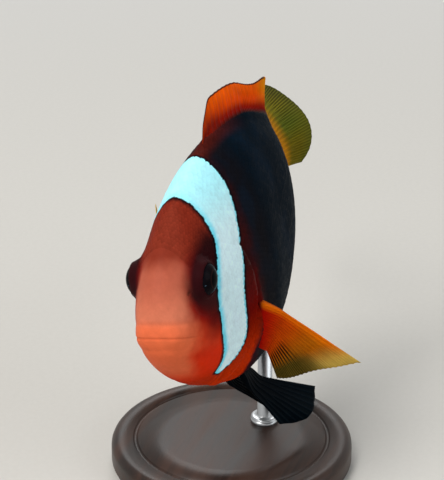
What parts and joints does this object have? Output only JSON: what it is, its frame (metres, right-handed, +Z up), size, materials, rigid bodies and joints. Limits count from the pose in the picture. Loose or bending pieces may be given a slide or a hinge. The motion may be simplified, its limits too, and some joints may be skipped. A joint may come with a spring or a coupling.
{
  "type": "clownfish",
  "caption": "Still life-size clownfish, deep-bodied, with spread fins and one pale head bar, held over a round base by a short rod.",
  "frame": {"origin": "centre of the flat underside of the stand base", "axes": "+X from the tail towards the snout, +Y towards the fish's left side, +Z up from the base"},
  "size_m": [0.1072, 0.0521, 0.0765],
  "materials": {
    "head_skin": "moist orange-red fish skin, semi-gloss",
    "body_skin": "small overlapping scales, blackish, semi-gloss",
    "eye": "dark eye under a clear glossy cornea",
    "orange_fin": "rayed fin membrane, orange, satin",
    "black_fin": "rayed fin membrane, black, satin",
    "tail_fin": "rayed fin membrane, olive yellow, satin",
    "stand_base": "dark stained wood, satin lacquer",
    "stand_rod": "brushed steel rod"
  },
  "bodies": {
    "root": {"head": "head_skin", "trunk": "body_skin", "tail": "body_skin", "eye_left": "eye", "eye_right": "eye", "dorsal_fin_spiny": "orange_fin", "dorsal_fin_soft": "orange_fin", "anal_fin": "black_fin", "caudal_fin": "tail_fin", "pectoral_fin_left": "orange_fin", "pectoral_fin_right": "orange_fin", "pelvic_fin_left": "black_fin", "pelvic_fin_right": "black_fin", "stand_base": "stand_base", "stand_rod": "stand_rod"}
  },
  "joints": []
}
